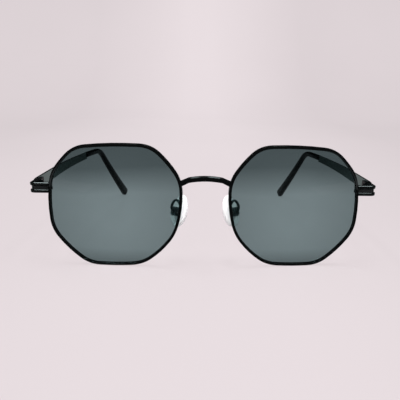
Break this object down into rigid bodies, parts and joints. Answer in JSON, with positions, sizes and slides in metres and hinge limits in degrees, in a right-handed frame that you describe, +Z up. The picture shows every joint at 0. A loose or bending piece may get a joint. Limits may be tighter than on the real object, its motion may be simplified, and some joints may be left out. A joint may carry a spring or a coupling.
{
  "type": "octagonal sunglasses",
  "caption": "Octagonal metal sunglasses: grooved split rims with tinted lenses, arched bridge, ribbed end pieces, folding temples with sleeved tips and rocking nose pads.",
  "frame": {"origin": "on the ground below the middle of the glasses, half way from the lenses' bulge to the temple tips' ends", "axes": "+Z up; the wearer looks towards -Y, so the front faces -Y; the wearer's left is +X"},
  "size_m": [0.14, 0.1334, 0.0519],
  "materials": {
    "black_metal": "gloss black",
    "dark_metal": "semi-gloss gunmetal",
    "screw_steel": "satin",
    "tinted_lens": "polished, dark grey-green tint",
    "tip_plastic": "gloss black",
    "insert_plastic": "clear",
    "pad_silicone": "clear, soft satin"
  },
  "bodies": {
    "front": {"bridge": "black_metal", "left_rim": "black_metal", "right_rim": "black_metal", "left_lens": "tinted_lens", "right_lens": "tinted_lens", "left_end_piece": "black_metal", "right_end_piece": "black_metal", "left_upper_closing_block": "dark_metal", "right_upper_closing_block": "dark_metal", "left_lower_closing_block": "dark_metal", "right_lower_closing_block": "dark_metal", "left_rim_screw": "screw_steel", "right_rim_screw": "screw_steel", "left_front_hinge_leaf": "dark_metal", "right_front_hinge_leaf": "dark_metal", "left_hinge_screw": "screw_steel", "right_hinge_screw": "screw_steel", "left_pad_arm": "dark_metal", "right_pad_arm": "dark_metal", "left_pad_box": "dark_metal", "right_pad_box": "dark_metal", "left_pad_screw": "screw_steel", "right_pad_screw": "screw_steel"},
    "left_arm": {"left_temple_hinge_leaf": "dark_metal", "left_temple": "black_metal", "left_temple_tip": "tip_plastic"},
    "right_arm": {"right_temple_hinge_leaf": "dark_metal", "right_temple": "black_metal", "right_temple_tip": "tip_plastic"},
    "left_pad_unit": {"left_pad_insert": "insert_plastic", "left_nose_pad": "pad_silicone"},
    "right_pad_unit": {"right_pad_insert": "insert_plastic", "right_nose_pad": "pad_silicone"}
  },
  "joints": [
    {"name": "left_temple_fold", "type": "hinge", "parent": "front", "child": "left_arm", "pos_m": [0.06739, -0.05566, 0.03333], "axis": [0, 0, 1], "range_deg": [0, 83]},
    {"name": "right_temple_fold", "type": "hinge", "parent": "front", "child": "right_arm", "pos_m": [-0.06739, -0.05566, 0.03333], "axis": [0, 0, -1], "range_deg": [0, 80]},
    {"name": "left_pad_rock", "type": "hinge", "parent": "front", "child": "left_pad_unit", "pos_m": [0.01235, -0.0588, 0.02327], "axis": [-0.682, -0.7314, 0], "range_deg": [-8, 8]},
    {"name": "right_pad_rock", "type": "hinge", "parent": "front", "child": "right_pad_unit", "pos_m": [-0.01235, -0.0588, 0.02327], "axis": [-0.682, 0.7314, 0], "range_deg": [-8, 8]}
  ]
}
